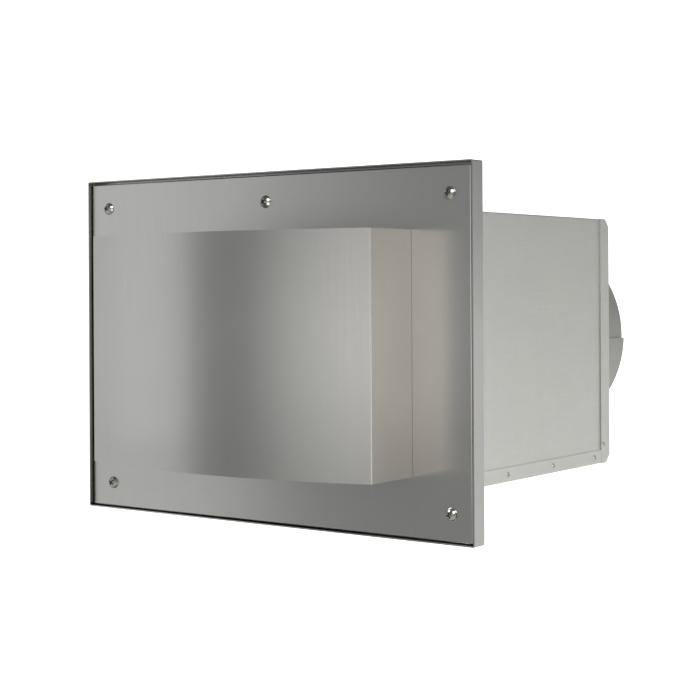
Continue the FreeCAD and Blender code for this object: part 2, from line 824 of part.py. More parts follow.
def tray_low_holes(body, name):
    """Holes for the rivets through the rear tray's bottom flange."""
    plan = new_sketch(body, name + "_tray_low_holes", PLAN)
    for across in TRAY_LOW_RIVETS:
        add_circle(plan, across, tray_rivet_y, cell("rivet_shank_radius"))
    new_pocket(body, plan)


# how far a cutting outline runs past the edge it cuts
PAST = plain(2.0)
# how much less a 45 degree bevel is, per unit of inset, on an outline inset on all sides
BEVEL_LOSS = 2.0 - math.sqrt(2.0)


def tray_section(front, inset):
    """Side outline of the rear tray at an inset from its outer face, open end at front."""
    clip = cell("tray_clip") - inset * BEVEL_LOSS
    rear = sleeve_end - inset
    low = sleeve_low + inset
    top = sleeve_tall - inset
    return [(front, low), (rear - clip, low), (rear, low + clip),
            (rear, top - clip), (rear - clip, top), (front, top)]


def make_rear_tray():
    """Rear panel with flanges forward, bevelled at 45 degrees along its top and bottom.

    The side and bottom flanges lie outside the sleeve, the top one ends flush behind the wrap.
    """
    body = new_body("rear_tray")
    wide = strip_half
    outline = new_sketch(body, "tray_outline", SIDE, -wide)
    add_polygon(outline, tray_section(tray_front, ZERO))
    new_pad(body, outline, wide * 2)
    hollow = new_sketch(body, "tray_hollow", SIDE, gauge - wide)
    add_polygon(hollow, tray_section(tray_front - PAST, gauge))
    new_pocket(body, hollow, (wide - gauge) * 2, backwards=True)
    notch = new_sketch(body, "tray_top_notch", PLAN, sleeve_tall - gauge - PAST)
    beside = sleeve_half + cell("tray_top_gap") / 3
    add_rectangle(notch, -beside, beside, tray_front - PAST, wrap_end + cell("tray_top_gap"))
    new_pocket(body, notch, gauge + PAST * 2, backwards=True)
    hole = new_sketch(body, "tray_duct_hole", FRONT, -tray_front)
    add_circle(hole, ZERO, ZERO, spigot + cell("opening_gap"))
    new_pocket(body, hole)
    rivets = new_sketch(body, "tray_ring_holes", FRONT, -tray_front)
    for across, up in ring_rivet_places():
        add_circle(rivets, across, up, cell("rivet_shank_radius"))
    new_pocket(body, rivets)
    tray_side_holes(body, "tray")
    tray_low_holes(body, "tray")
    nodes.append(body)


def ring_rivet_places():
    """Centres (across, up) of the rivets round the spigot's ring."""
    count = int(cell("ring_rivets").number)
    radius = spigot + cell("ring_band") / 2
    places = []
    for index in range(count):
        turn = math.radians(360.0 * (index + 0.5) / count)
        places.append((radius * math.cos(turn), radius * math.sin(turn)))
    return places


def make_blind_rivet():
    """Blind rivet whose grip starts at the origin: head towards -Y, bulb towards +Y."""
    master = new_body("blind_rivet_master")
    core = cell("rivet_core_radius")
    shank = cell("rivet_shank_radius")
    head = cell("rivet_head_radius")
    flat = cell("rivet_flat_radius")
    bulb = cell("rivet_bulb_radius")
    sink = cell("rivet_core_rise")
    rise = cell("rivet_head_rise")
    grip = gauge * 2
    tail = grip + cell("rivet_bulb_rise")
    profile = new_sketch(master, "blind_rivet_profile", PLAN)
    add_polygon(profile, [(ZERO, -sink), (core, -sink), (core, -rise), (flat, -rise),
                          (head, ZERO), (shank, ZERO), (shank, grip),
                          (bulb, grip + cell("rivet_bulb_shoulder")),
                          (cell("rivet_tail_radius"), tail), (ZERO, tail)])
    turned = master.newObject("PartDesign::Revolution", "blind_rivet_turned")
    turned.Profile = profile
    turned.ReferenceAxis = (profile, ["V_Axis"])
    turned.Angle = 360
    return master


def make_blind_rivets(master):
    """Rivets of the bottom strips, of the rear tray's flanges and of the spigot ring."""
    right = Rotation(Z, 90)
    left = Rotation(Z, -90)
    level = strip_rivet_level.number
    strip = []
    for place in strip_rivet_places():
        for side, turn in ((1, right), (-1, left)):
            strip.append(Placement(Vector(strip_half.number * side, place.number, level), turn))
    nodes.append(new_group("strip_rivets", master, strip))

    tray = []
    y = tray_rivet_y.number
    for side, turn in ((1, right), (-1, left)):
        place = Vector(strip_half.number * side, y, tray_side_level.number)
        tray.append(Placement(place, turn))
    for across in TRAY_LOW_RIVETS:
        place = Vector(across.number, y, sleeve_low.number)
        tray.append(Placement(place, Rotation(X, 90)))
    nodes.append(new_group("tray_rivets", master, tray))

    ring = []
    for across, up in ring_rivet_places():
        place = Vector(across.number, sleeve_end.number, up.number)
        ring.append(Placement(place, Rotation(Z, 180)))
    nodes.append(new_group("spigot_rivets", master, ring))


# ---------------------------------------------------------------------------
# Duct spigot
# ---------------------------------------------------------------------------

# direction of the lap's lower end, a 3-4-5 triangle
LAP_ACROSS = 0.6
LAP_DOWN = -0.8


def make_spigot():
    """Rolled duct collar with a lapped seam that starts just below its axis on the right."""
    body = new_body("duct_spigot")
    start = sleeve_end - gauge * 2 - cell("spigot_inside")
    ring = new_sketch(body, "spigot_tube", FRONT, -start)
    add_circle(ring, ZERO, ZERO, spigot)
    add_circle(ring, ZERO, ZERO, spigot_bore)
    new_pad(body, ring, spigot_end - start, backwards=True)
    outer = spigot + cell("lap_gauge")
    inner = spigot - cell("spigot_gauge") / 2
    drop = cell("lap_drop")
    lap = new_sketch(body, "spigot_lap", FRONT, -sleeve_end - cell("lap_gauge"))
    add_polygon(lap, [(root(inner * inner - drop * drop), -drop, inner, -1),
                      (inner * LAP_ACROSS, inner * LAP_DOWN),
                      (outer * LAP_ACROSS, outer * LAP_DOWN, outer, 1),
                      (root(outer * outer - drop * drop), -drop)])
    new_pad(body, lap, spigot_end - sleeve_end - cell("lap_gauge"), backwards=True)
    holes = new_sketch(body, "spigot_bush_holes", PLAN)
    add_circle(holes, ZERO, rod_y, cell("bush_radius"))
    new_pocket(body, holes)
    nodes.append(body)


def make_spigot_ring():
    """Flat ring that joins the spigot to the inside of the rear tray, cut straight above and below."""
    body = new_body("spigot_ring")
    ring = new_sketch(body, "ring_outline", FRONT, gauge - sleeve_end)
    add_circle(ring, ZERO, ZERO, spigot + cell("ring_band"))
    add_circle(ring, ZERO, ZERO, spigot)
    for across, up in ring_rivet_places():
        add_circle(ring, across, up, cell("rivet_shank_radius"))
    new_pad(body, ring, gauge)
    flats = new_sketch(body, "ring_flats", FRONT, gauge - sleeve_end)
    reach = spigot + cell("ring_band") + PAST
    add_rectangle(flats, -reach, reach, cell("ring_flat"), reach)
    add_rectangle(flats, -reach, reach, -reach, -cell("ring_flat"))
    new_pocket(body, flats)
    nodes.append(body)


# ---------------------------------------------------------------------------
# Back-draught damper inside the spigot
# ---------------------------------------------------------------------------

blade_rear = cell("knuckle_bore") + cell("knuckle_gauge")
# spans of the rod (low, high) that each blade's knuckles and spring take, right blade first
KNUCKLES = {1: ((62, 84), (-38, -16)), -1: ((16, 38), (-84, -62))}
# where on the rod each blade's spring starts, between that blade's two knuckles
SPRING_START = {1: 41, -1: -59}
BLADE_SIDES = {1: "right", -1: "left"}


def make_damper_rod():
    body = new_body("damper_rod")
    half = cell("rod_half_length")
    rod = new_sketch(body, "rod_section", PLAN, -half)
    add_circle(rod, ZERO, rod_y, cell("rod_radius"))
    new_pad(body, rod, half * 2)
    nodes.append(body)


def make_rod_bushes():
    """Flanged bushes in the spigot's wall, one at each end of the rod."""
    master = new_body("bush_master")
    seat = spigot + cell("bush_head_gap")
    barrel = new_sketch(master, "bush_barrel", PLAN, spigot_bore - cell("bush_tail"))
    add_circle(barrel, ZERO, ZERO, cell("bush_radius"))
    add_circle(barrel, ZERO, ZERO, cell("rod_radius"))
    new_pad(master, barrel, seat - spigot_bore + cell("bush_tail"))
    head = new_sketch(master, "bush_head", PLAN, seat)
    add_circle(head, ZERO, ZERO, cell("bush_head_radius"))
    add_circle(head, ZERO, ZERO, cell("rod_radius"))
    new_pad(master, head, cell("bush_head_rise"))
    places = [Placement(Vector(0, rod_y.number, 0), Rotation()),
              Placement(Vector(0, rod_y.number, 0), Rotation(X, 180))]
    nodes.append(new_group("rod_bushes", master, places))


def make_rod_clips():
    """Push-on washers that keep the rod in its bushes."""
    master = new_body("clip_master")
    level = spigot + cell("bush_head_gap") + cell("bush_head_rise") + cell("clip_gap")
    disc = new_sketch(master, "clip_disc", PLAN, level)
    add_circle(disc, ZERO, ZERO, cell("clip_radius"))
    add_circle(disc, ZERO, ZERO, cell("rod_radius"))
    new_pad(master, disc, cell("clip_gauge"))
    places = [Placement(Vector(0, rod_y.number, 0), Rotation()),
              Placement(Vector(0, rod_y.number, 0), Rotation(X, 180))]
    nodes.append(new_group("rod_clips", master, places))


def make_blade(side):
    """Half-disc blade with two curled knuckles; side is +1 for the right blade, -1 for the left."""
    label = "damper_blade_%s" % BLADE_SIDES[side]
    body = new_body(label)
    edge = cell("blade_edge")
    radius = cell("blade_radius")
    reach = root(radius * radius - edge * edge)
    face = new_sketch(body, label + "_sheet", FRONT, -rod_y - blade_rear)
    if side > 0:
        add_polygon(face, [(edge, -reach, radius, 1), (edge, reach)])
    else:
        add_polygon(face, [(-edge, reach, radius, 1), (-edge, -reach)])
    new_pad(body, face, cell("knuckle_gauge"))
    for index, (low, high) in enumerate(KNUCKLES[side]):
        tab = new_sketch(body, "%s_tab%d" % (label, index), FRONT, -rod_y - blade_rear)
        reach_in = edge + cell("tab_overlap")
        across = (ZERO, reach_in) if side > 0 else (-reach_in, ZERO)
        add_rectangle(tab, across[0], across[1], plain(low), plain(high))
        new_pad(body, tab, cell("knuckle_gauge"))
        curl = new_sketch(body, "%s_curl%d" % (label, index), PLAN, plain(low))
        add_circle(curl, ZERO, rod_y, blade_rear)
        new_pad(body, curl, plain(high - low))
        bore = new_sketch(body, "%s_bore%d" % (label, index), PLAN, plain(low))
        add_circle(bore, ZERO, rod_y, cell("knuckle_bore"))
        new_pocket(body, bore, plain(high - low), backwards=True)
    nodes.append(body)


def make_damper_seat():
    """Ring with a skirt inside the spigot, upstream of the blades."""
    body = new_body("damper_seat")
    front = rod_y + blade_rear + cell("blade_gap") + cell("seal_thick")
    face = new_sketch(body, "seat_face", FRONT, -front)
    add_circle(face, ZERO, ZERO, spigot_bore)
    add_circle(face, ZERO, ZERO, cell("seat_inner_radius"))
    new_pad(body, face, gauge, backwards=True)
    skirt = new_sketch(body, "seat_skirt", FRONT, -front)
    add_circle(skirt, ZERO, ZERO, spigot_bore)
    add_circle(skirt, ZERO, ZERO, spigot_bore - gauge)
    new_pad(body, skirt, cell("seat_depth"), backwards=True)
    nodes.append(body)


def make_damper_seal():
    body = new_body("damper_seal")
    front = rod_y + blade_rear + cell("blade_gap")
    ring = new_sketch(body, "seal_ring", FRONT, -front)
    add_circle(ring, ZERO, ZERO, cell("blade_radius"))
    add_circle(ring, ZERO, ZERO, cell("seat_inner_radius"))
    new_pad(body, ring, cell("seal_thick"), backwards=True)
    nodes.append(body)


def make_blade_stop():
    """Collar on the middle of the rod with two wings that the open blades meet."""
    body = new_body("blade_stop")
    half = cell("stop_half_length")
    near, far = cell("stop_wing_near"), cell("stop_wing_far")
    start, tip = cell("stop_wing_root"), cell("stop_wing_tip")
    lean = math.radians(cell("stop_wing_lean").number)
    collar = new_sketch(body, "stop_collar", PLAN, -half)
    add_circle(collar, ZERO, rod_y, cell("rod_radius") + cell("knuckle_gauge"))
    new_pad(body, collar, half * 2)
    for side in (1, -1):
        wing = new_sketch(body, "stop_wing_%s" % BLADE_SIDES[side], PLAN, -half)
        corners = []
        for off, run in ((near, start), (far, start), (far, tip), (near, tip)):
            across = off * math.cos(lean) + run * math.sin(lean)
            ahead = off * math.sin(lean) - run * math.cos(lean)
            corners.append((across * side, rod_y + ahead))
        add_polygon(wing, corners if side < 0 else corners[::-1])
        new_pad(body, wing, half * 2)
    bore = new_sketch(body, "stop_bore", PLAN, -half)
    add_circle(bore, ZERO, rod_y, cell("rod_radius"))
    new_pocket(body, bore, half * 2, backwards=True)
    nodes.append(body)


def make_spring(side):
    """Torsion spring round the rod, its leg pressing the blade's downstream face shut."""
    label = "damper_spring_%s" % BLADE_SIDES[side]
    wire = cell("spring_wire").number / 2
    coil = cell("spring_coil_radius").number
    turns = cell("spring_turns").number
    pitch = cell("spring_pitch").number
    leg_gap = cell("spring_leg_gap").number
    front_face = blade_rear.number - cell("knuckle_gauge").number - wire - leg_gap
    # the leg leaves the coil along its tangent and its tip ends on the blade's face
    lean = math.radians(cell("spring_leg_lean").number)
    leg = (front_face + coil * math.cos(lean)) / math.sin(lean)
    start = Vector(coil * math.sin(lean), -coil * math.cos(lean), 0)
    heading = Vector(math.cos(lean), math.sin(lean), 0)
    path = Part.makeHelix(pitch, pitch * turns, coil)
    section = Part.Wire(Part.makeCircle(wire, Vector(coil, 0, 0), Y))
    windings = Part.Wire(path.Edges).makePipeShell([section], True, True)
    windings.rotate(Vector(0, 0, 0), Z, math.degrees(lean) - 90)
    straight = Part.makeCylinder(wire, leg, start, heading)
    solid = windings.fuse(straight)
    if side < 0:
        solid = solid.mirror(Vector(0, 0, 0), X)
    feature = doc.addObject("Part::Feature", label)
    feature.Label = label
    feature.Shape = solid
    feature.Placement = Placement(Vector(0, rod_y.number, SPRING_START[side]), Rotation())
    nodes.append(feature)


# ---------------------------------------------------------------------------
# Build, check and write
# ---------------------------------------------------------------------------

make_wall_frame()
make_wall_foam()
make_cover_posts()
make_cover_plate()
make_cover_foam()
make_cover_screws()
make_hood_shell()
make_hood_lid()
make_outlet_rim()
make_outlet_screen()
make_screen_rivets()
make_sleeve_wrap()
make_sleeve_floor()
make_rear_tray()
make_blind_rivets(make_blind_rivet())
make_spigot()
make_spigot_ring()
make_damper_rod()
make_rod_bushes()
make_rod_clips()
make_blade(1)
make_blade(-1)
make_damper_seat()
make_damper_seal()
make_blade_stop()
make_spring(1)
make_spring(-1)

doc.recompute()
failed = [o.Label for o in doc.Objects if "Invalid" in o.State or "Error" in o.State]
if failed:
    raise RuntimeError("objects failed: %s" % ", ".join(failed))
os.makedirs("parts", exist_ok=True)
for node in nodes:
    if node.Shape.isNull() or not node.Shape.isValid() or not node.Shape.Solids:
        raise RuntimeError("bad shape: %s" % node.Label)
    node.Shape.exportStep("parts/%s.step" % node.Label)
    box = node.Shape.BoundBox
    print("%-22s solids %2d  volume %10.1f mm3  x %.1f..%.1f  y %.1f..%.1f  z %.1f..%.1f" % (
        node.Label, len(node.Shape.Solids), node.Shape.Volume,
        box.XMin, box.XMax, box.YMin, box.YMax, box.ZMin, box.ZMax))
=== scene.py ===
"""Looks of the through-wall vent terminal: finishes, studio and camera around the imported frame."""

import json
import math

import bmesh
import bpy
from mathutils import Matrix, Vector

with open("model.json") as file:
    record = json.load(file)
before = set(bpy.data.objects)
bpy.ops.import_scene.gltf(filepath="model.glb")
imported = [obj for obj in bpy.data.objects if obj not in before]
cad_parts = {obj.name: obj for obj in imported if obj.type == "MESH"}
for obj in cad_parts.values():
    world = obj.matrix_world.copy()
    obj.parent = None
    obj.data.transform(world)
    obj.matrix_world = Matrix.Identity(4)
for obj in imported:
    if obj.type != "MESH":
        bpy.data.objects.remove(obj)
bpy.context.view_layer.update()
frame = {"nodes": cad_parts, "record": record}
scene = bpy.context.scene

# ---------------------------------------------------------------------------
# Material helpers
# ---------------------------------------------------------------------------

# edge wear and the look of a face fade in between these turns: 1 - cosine, and cosine
EDGE_TURN = (0.02, 0.25)
FACE_TURN = (0.8, 0.95)


def set_range(node, low, high, out_low, out_high):
    """Sets what a Map Range node reads and what it gives."""
    numbers = {"From Min": low, "From Max": high, "To Min": out_low, "To Max": out_high}
    for socket, number in numbers.items():
        node.inputs[socket].default_value = number


class Surface:
    """A procedural material in the making: one Principled shader and the textures that feed it."""

    def __init__(self, name, metallic, colour, roughness):
        self.material = bpy.data.materials.new(name)
        self.material.use_nodes = True
        self.tree = self.material.node_tree
        self.tree.nodes.clear()
        output = self.add("ShaderNodeOutputMaterial")
        self.shader = self.add("ShaderNodeBsdfPrincipled")
        self.put(output.inputs["Surface"], self.shader.outputs["BSDF"])
        self.shader.inputs["Metallic"].default_value = metallic
        self.colour = self.add("ShaderNodeRGB").outputs[0]
        self.colour.default_value = (*colour, 1.0)
        self.rough = self.add("ShaderNodeValue").outputs[0]
        self.rough.default_value = roughness
        self.place = self.add("ShaderNodeTexCoord").outputs["Object"]
        self.bumps = None

    def add(self, kind, **settings):
        node = self.tree.nodes.new(kind)
        for key, value in settings.items():
            setattr(node, key, value)
        return node

    def put(self, socket, value):
        """Feeds a socket from another one, or sets its number."""
        if isinstance(value, bpy.types.NodeSocket):
            self.tree.links.new(value, socket)
        else:
            socket.default_value = value

    def maths(self, operation, first, second=0.0, clamp=False):
        node = self.add("ShaderNodeMath", operation=operation, use_clamp=clamp)
        self.put(node.inputs[0], first)
        self.put(node.inputs[1], second)
        return node.outputs[0]

    def vectors(self, operation, first, second):
        node = self.add("ShaderNodeVectorMath", operation=operation)
        self.put(node.inputs[0], first)
        self.put(node.inputs[1], second)
        return node

    def dot(self, first, second):
        return self.vectors("DOT_PRODUCT", first, second).outputs["Value"]

    def normal(self):
        return self.add("ShaderNodeNewGeometry").outputs["Normal"]

    def stretched(self, scale):
        node = self.add("ShaderNodeMapping")
        node.inputs["Scale"].default_value = scale
        self.put(node.inputs["Vector"], self.place)
        return node.outputs["Vector"]

    def noise(self, scale, detail=3.0, roughness=0.6, distortion=0.0):
        """Noise with so many features a metre: one number, or three for streaks."""
        spread = scale if isinstance(scale, tuple) else (scale, scale, scale)
        node = self.add("ShaderNodeTexNoise")
        self.put(node.inputs["Vector"], self.stretched(spread))
        node.inputs["Scale"].default_value = 1.0
        node.inputs["Detail"].default_value = detail
        node.inputs["Roughness"].default_value = roughness
        node.inputs["Distortion"].default_value = distortion
        return node.outputs["Fac"]

    def cells(self, scale):
        """Distance to the middle of the nearest cell, with so many cells a metre."""
        node = self.add("ShaderNodeTexVoronoi")
        self.put(node.inputs["Vector"], self.stretched((scale, scale, scale)))
        node.inputs["Scale"].default_value = 1.0
        return node.outputs["Distance"]

    def ramp(self, value, low, high, out_low=0.0, out_high=1.0):
        """A smooth step from out_low to out_high as the value goes from low to high."""
        node = self.add("ShaderNodeMapRange", interpolation_type="SMOOTHSTEP")
        self.put(node.inputs["Value"], value)
        set_range(node, low, high, out_low, out_high)
        return node.outputs["Result"]

    def tint(self, factor, colour):
        """Mixes a colour into the base colour where the factor is high."""
        node = self.add("ShaderNodeMix", data_type="RGBA")
        self.put(node.inputs["Factor"], factor)
        self.put(node.inputs[6], self.colour)
        node.inputs[7].default_value = (*colour, 1.0)
        self.colour = node.outputs[2]

    def tint_partly(self, factor, share, colour):
        """Tints with no more than a share of the factor."""
        self.tint(self.maths("MULTIPLY", factor, share), colour)

    def roughen(self, factor, amount):
        """Adds to the roughness by up to the amount, where the factor is high."""
        added = self.maths("MULTIPLY", factor, amount)
        self.rough = self.maths("ADD", self.rough, added, clamp=True)

    def bump(self, height, distance, strength):
        """Lays a bump of up to the distance in metres over the earlier ones."""
        node = self.add("ShaderNodeBump")
        node.inputs["Strength"].default_value = strength
        node.inputs["Distance"].default_value = distance
        self.put(node.inputs["Height"], height)
        if self.bumps is not None:
            self.put(node.inputs["Normal"], self.bumps)
        self.bumps = node.outputs["Normal"]

    def edges(self, radius):
        """1 along the edges, where the surface turns within the radius."""
        bevel = self.add("ShaderNodeBevel", samples=6)
        bevel.inputs["Radius"].default_value = radius
        straight = self.dot(bevel.outputs["Normal"], self.normal())
        return self.ramp(self.maths("SUBTRACT", 1.0, straight), *EDGE_TURN)

    def facing_in(self, shallow, deep):
        """1 on the faces that look back at the origin from deep or further off, 0 from shallow."""
        return self.ramp(self.dot(self.place, self.normal()), -deep, -shallow, 1.0, 0.0)

    def looking(self, direction):
        """1 on the faces that look in the direction."""
        return self.ramp(self.dot(self.normal(), direction), *FACE_TURN)

    def corners(self, distance, low, high):
        """1 in the inner corners, where shade falls: the mask for painted shade."""
        shade = self.add("ShaderNodeAmbientOcclusion", samples=8)
        shade.inputs["Distance"].default_value = distance
        return self.ramp(shade.outputs["AO"], low, high, 1.0, 0.0)

    def brushed(self, anisotropy, grain):
        """Spreads the gloss across the grain, which is a direction in the object's frame."""
        self.shader.inputs["Anisotropic"].default_value = anisotropy
        across = self.vectors("CROSS_PRODUCT", self.normal(), grain)
        self.put(self.shader.inputs["Tangent"], across.outputs["Vector"])

    def done(self):
        self.put(self.shader.inputs["Base Color"], self.colour)
        self.put(self.shader.inputs["Roughness"], self.rough)
        if self.bumps is not None:
            self.put(self.shader.inputs["Normal"], self.bumps)
        return self.material


# ---------------------------------------------------------------------------
# Finishes
# ---------------------------------------------------------------------------

OUTDOORS = (0.0, -1.0, 0.0)

# directions of the grain, a little off the axes so that no face is square to them
UPRIGHT = (0.03, 0.05, 1.0)
INWARD = (0.03, 1.0, 0.05)
UPRIGHT_ON_BLADE = (0.05, 0.08, 1.0)

# features a metre along X, Y and Z
UPRIGHT_STREAKS = (1500.0, 1500.0, 22.0)
INWARD_STREAKS = (700.0, 18.0, 700.0)
BLADE_LINES = (900.0, 900.0, 26.0)
BLADE_SCUFFS = (60.0, 600.0, 900.0)
COARSE_STREAK = 0.16

# colours that are mixed into the brushed sheet
LINE_GREY = (0.42, 0.42, 0.41)
STREAK_PALE = (0.85, 0.85, 0.83)
HAND_SMUDGE = (0.52, 0.51, 0.48)
BRUSHED_EDGE = (0.86, 0.86, 0.85)
# painted shade: darkens the inner faces of the flanges and tray, where shade falls in the gaps
INNER_FACE_PAINTED_SHADE = (0.16, 0.155, 0.14)
# painted shade: darkens the seams and joins found by ambient occlusion
SEAM_PAINTED_SHADE = (0.14, 0.13, 0.12)

# colours that are mixed into the rolled sheet
MILL_CLOUD = (0.52, 0.52, 0.45)
MILL_LINE = (0.47, 0.47, 0.46)
RUBBED_SPOT = (0.70, 0.70, 0.69)
MILL_EDGE = (0.90, 0.90, 0.88)
# painted shade: darkens the faces that look outdoors, such as the thin front cut edges
FRONT_FACE_PAINTED_SHADE = (0.22, 0.21, 0.19)

# colours that are mixed into the small parts
# painted shade: darkens the recesses of the small parts, found by ambient occlusion
RECESS_PAINTED_SHADE = (0.10, 0.095, 0.09)
GRIME = (0.20, 0.19, 0.17)
BRIGHT_MARK = (0.86, 0.85, 0.83)

# colours that are mixed into the blades, foam, silicone and nylon
OXIDE_BLOOM = (0.62, 0.63, 0.64)
FRESH_SCUFF = (0.93, 0.93, 0.94)
# painted shade in the hollows of the foam cells
CELL_HOLLOW_SHADE = (0.012, 0.012, 0.013)
FOAM_DUST = (0.10, 0.10, 0.095)
SEAL_DUST = (0.50, 0.33, 0.27)
YELLOWING = (0.68, 0.60, 0.44)


def brushed_steel(name, colour, roughness, grain, anisotropy, streak):
    """Ground stainless sheet: fine lines along the grain, slow waves in the sheet, faint handling
    marks, painted shade in the seams and painted shade on the inner faces."""
    steel = Surface(name, 1.0, colour, roughness)
    fine = steel.noise(streak, detail=4.0, roughness=0.7)
    coarse = steel.noise(tuple(scale * COARSE_STREAK for scale in streak), detail=3.0)
    smudge = steel.noise(9.0, detail=4.0, distortion=0.4)
    steel.tint(steel.ramp(fine, 0.35, 0.75, 0.0, 0.10), LINE_GREY)
    steel.tint(steel.ramp(coarse, 0.35, 0.7, 0.0, 0.05), STREAK_PALE)
    steel.tint(steel.ramp(smudge, 0.52, 0.75, 0.0, 0.06), HAND_SMUDGE)
    steel.tint_partly(steel.edges(0.0006), 0.2, BRUSHED_EDGE)
    shade_unevenness = steel.ramp(smudge, 0.2, 0.6, 0.5, 0.7)
    # painted shade: darkens the inner faces of the flanges, unevenly
    steel.tint_partly(steel.facing_in(shallow=0.10, deep=0.14), shade_unevenness, INNER_FACE_PAINTED_SHADE)
    # painted shade: darkens the seams found by ambient occlusion
    steel.tint_partly(steel.corners(0.0016, 0.45, 0.85), 0.26, SEAM_PAINTED_SHADE)
    steel.roughen(steel.ramp(fine, 0.3, 0.8), 0.03)
    steel.roughen(steel.ramp(smudge, 0.5, 0.8), 0.03)
    steel.bump(fine, 0.000006, 0.35)
    steel.bump(coarse, 0.00001, 0.3)
    steel.bump(steel.noise(3.2, detail=1.0), 0.0012, 0.10)
    steel.brushed(anisotropy, grain)
    return steel.done()


def mill_steel(name, colour, roughness, grain, anisotropy, streak):
    """Dull rolled sheet: rolling lines, cloudy mottling, a few rubbed spots, and painted shade on
    the faces that look outdoors, such as the front cut edges.
    """
    steel = Surface(name, 1.0, colour, roughness)
    lines = steel.noise(streak, detail=3.0, roughness=0.65)
    cloud = steel.noise(15.0, detail=4.0, roughness=0.5, distortion=0.3)
    spots = steel.noise(210.0, detail=3.0, roughness=0.7)
    steel.tint(steel.ramp(cloud, 0.35, 0.7, 0.0, 0.14), MILL_CLOUD)
    steel.tint(steel.ramp(lines, 0.42, 0.72, 0.0, 0.07), MILL_LINE)
    steel.tint(steel.ramp(spots, 0.62, 0.78, 0.0, 0.12), RUBBED_SPOT)
    steel.tint_partly(steel.edges(0.0012), 0.15, MILL_EDGE)
    # painted shade: darkens the faces that look outdoors, such as the front cut edges
    steel.tint_partly(steel.looking(OUTDOORS), 0.75, FRONT_FACE_PAINTED_SHADE)
    steel.roughen(steel.ramp(cloud, 0.35, 0.7), 0.08)
    steel.roughen(steel.ramp(spots, 0.5, 0.8), 0.05)
    steel.bump(lines, 0.00001, 0.4)
    steel.bump(cloud, 0.0003, 0.10)
    steel.bump(steel.noise(4.5, detail=1.0), 0.0016, 0.12)
    steel.brushed(anisotropy, grain)
    return steel.done()


def turned_steel(name, colour, roughness, wear):
    """Screws, rivets, rod and wire: small parts with drawing marks, patchy grime, and painted shade
    in the low places.
    """
    steel = Surface(name, 1.0, colour, roughness)
    marks = steel.noise(1400.0, detail=3.0, roughness=0.7)
    grime = steel.noise(330.0, detail=4.0, distortion=0.5)
    # painted shade: darkens the recesses found by ambient occlusion
    steel.tint_partly(steel.corners(0.0025, 0.25, 0.85), 0.85, RECESS_PAINTED_SHADE)
    steel.tint(steel.ramp(grime, 0.5, 0.72, 0.0, wear), GRIME)
    steel.tint(steel.ramp(marks, 0.5, 0.8, 0.0, 0.2), BRIGHT_MARK)
    steel.roughen(steel.ramp(grime, 0.45, 0.75), 0.12)
    steel.bump(marks, 0.00004, 0.35)
    steel.bump(grime, 0.00008, 0.25)
    return steel.done()


def rolled_aluminium():
    """Thin blade sheet: rolling lines, oxide bloom and a few scuffs."""
    sheet = Surface("blade_aluminium", 1.0, (0.80, 0.81, 0.82), 0.36)
    lines = sheet.noise(BLADE_LINES, detail=3.0, roughness=0.7)
    bloom = sheet.noise(34.0, detail=5.0, distortion=0.8)
    scuffs = sheet.noise(BLADE_SCUFFS, detail=2.0)
    sheet.tint(sheet.ramp(bloom, 0.45, 0.7, 0.0, 0.25), OXIDE_BLOOM)
    sheet.tint(sheet.ramp(scuffs, 0.64, 0.74, 0.0, 0.35), FRESH_SCUFF)
    sheet.roughen(sheet.ramp(bloom, 0.4, 0.7), 0.14)
    sheet.bump(lines, 0.00003, 0.4)
    sheet.bump(sheet.noise(7.0, detail=1.0), 0.0012, 0.15)
    sheet.brushed(0.5, UPRIGHT_ON_BLADE)
    return sheet.done()


def closed_cell_foam():
    """Black sealing foam: cut cells with painted shade in their hollows, dusty grey in places."""
    foam = Surface("foam", 0.0, (0.030, 0.030, 0.032), 0.92)
    cells = foam.cells(900.0)
    dust = foam.noise(60.0, detail=4.0)
    # painted shade: darkens the hollow middles of the cells
    foam.tint(foam.ramp(cells, 0.1, 0.6, 0.5, 0.0), CELL_HOLLOW_SHADE)
    foam.tint(foam.ramp(dust, 0.5, 0.8, 0.0, 0.35), FOAM_DUST)
    foam.roughen(dust, 0.05)
    foam.bump(cells, 0.0006, 0.8)
    return foam.done()


def silicone():
    """Matte red-brown seal with moulding texture and dust on it."""
    rubber = Surface("silicone", 0.0, (0.40, 0.10, 0.055), 0.55)
    grain = rubber.noise(1500.0, detail=2.0)
    dust = rubber.noise(90.0, detail=4.0)
    rubber.tint(rubber.ramp(dust, 0.5, 0.8, 0.0, 0.35), SEAL_DUST)
    rubber.roughen(grain, 0.12)
    rubber.bump(grain, 0.00006, 0.5)
    return rubber.done()


def nylon():
    """Natural nylon, slightly translucent, with moulding grain and yellowing."""
    plastic = Surface("nylon", 0.0, (0.80, 0.77, 0.69), 0.42)
    grain = plastic.noise(1100.0, detail=2.0)
    aged = plastic.noise(160.0, detail=3.0)
    plastic.tint(plastic.ramp(aged, 0.45, 0.75, 0.0, 0.35), YELLOWING)
    plastic.roughen(grain, 0.12)
    plastic.bump(grain, 0.00005, 0.4)
    plastic.shader.inputs["Subsurface Weight"].default_value = 0.15
    plastic.shader.inputs["Subsurface Radius"].default_value = (0.002, 0.0016, 0.001)
    return plastic.done()


